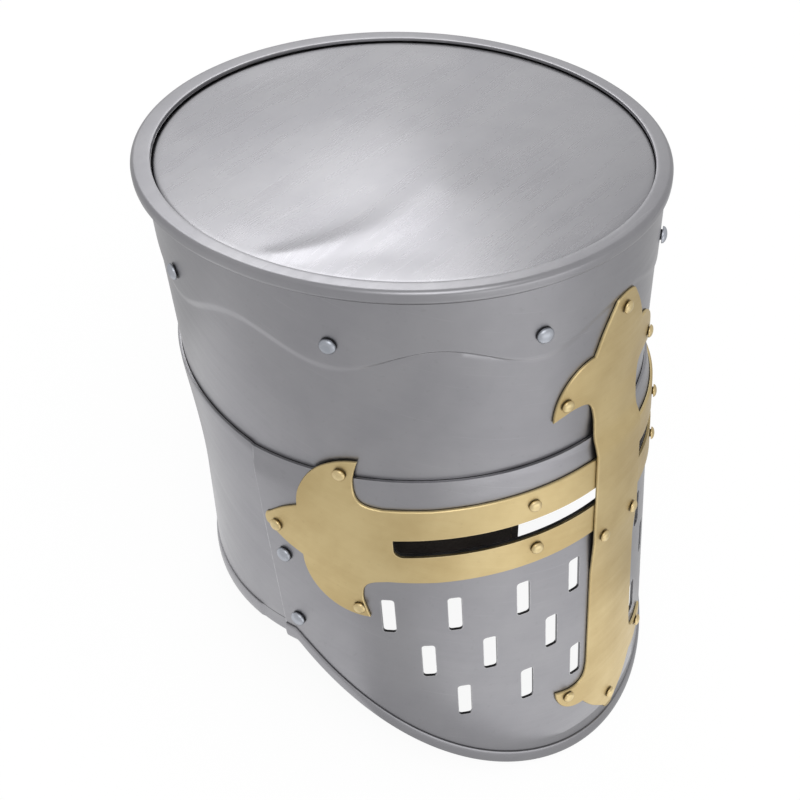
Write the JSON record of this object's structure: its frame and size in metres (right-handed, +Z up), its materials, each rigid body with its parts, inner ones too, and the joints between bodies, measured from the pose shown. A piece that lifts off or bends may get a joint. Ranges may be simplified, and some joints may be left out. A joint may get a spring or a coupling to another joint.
{
  "type": "knight helmet",
  "caption": "Flat-topped steel great helm with riveted plates, eye slots, breathing slots and a brass cross with fleur ends over the face.",
  "frame": {"origin": "bottom centre of the bounding box, on the table the helm stands on", "axes": "+Z up, -Y out of the face, +X to the wearer's left; the helm leans back on its chin and back hem"},
  "size_m": [0.2262, 0.3442, 0.2839],
  "materials": {
    "satin_steel": "satin",
    "rivet_steel": "satin",
    "satin_brass": "satin",
    "rivet_brass": "satin",
    "black_leather": "matte"
  },
  "bodies": {
    "root": {"arm_rivet_left_lower_horn": "rivet_brass", "arm_rivet_left_over_sight": "rivet_brass", "arm_rivet_left_tip": "rivet_brass", "arm_rivet_left_under_sight": "rivet_brass", "arm_rivet_left_upper_horn": "rivet_brass", "arm_rivet_right_lower_horn": "rivet_brass", "arm_rivet_right_over_sight": "rivet_brass", "arm_rivet_right_tip": "rivet_brass", "arm_rivet_right_under_sight": "rivet_brass", "arm_rivet_right_upper_horn": "rivet_brass", "back_plate": "satin_steel", "back_rivet_1": "rivet_steel", "back_rivet_2": "rivet_steel", "back_rivet_3": "rivet_steel", "bar_rivet_crown_tip": "rivet_brass", "bar_rivet_foot_tip": "rivet_brass", "bar_rivet_left_crossing": "rivet_brass", "bar_rivet_left_crown_horn": "rivet_brass", "bar_rivet_left_foot_horn": "rivet_brass", "bar_rivet_right_crossing": "rivet_brass", "bar_rivet_right_crown_horn": "rivet_brass", "bar_rivet_right_foot_horn": "rivet_brass", "cross_arm_left": "satin_brass", "cross_arm_right": "satin_brass", "cross_bar": "satin_brass", "crown_rivet_1": "rivet_steel", "crown_rivet_2": "rivet_steel", "crown_rivet_3": "rivet_steel", "crown_rivet_4": "rivet_steel", "crown_rivet_5": "rivet_steel", "crown_rivet_6": "rivet_steel", "crown_rivet_7": "rivet_steel", "crown_rivet_8": "rivet_steel", "crown_strap_left": "black_leather", "crown_strap_right": "black_leather", "face_plate": "satin_steel", "liner": "black_leather", "side_rivet_left_lower": "rivet_steel", "side_rivet_left_upper": "rivet_steel", "side_rivet_right_lower": "rivet_steel", "side_rivet_right_upper": "rivet_steel", "top_plate": "satin_steel", "upper_band": "satin_steel"}
  },
  "joints": []
}
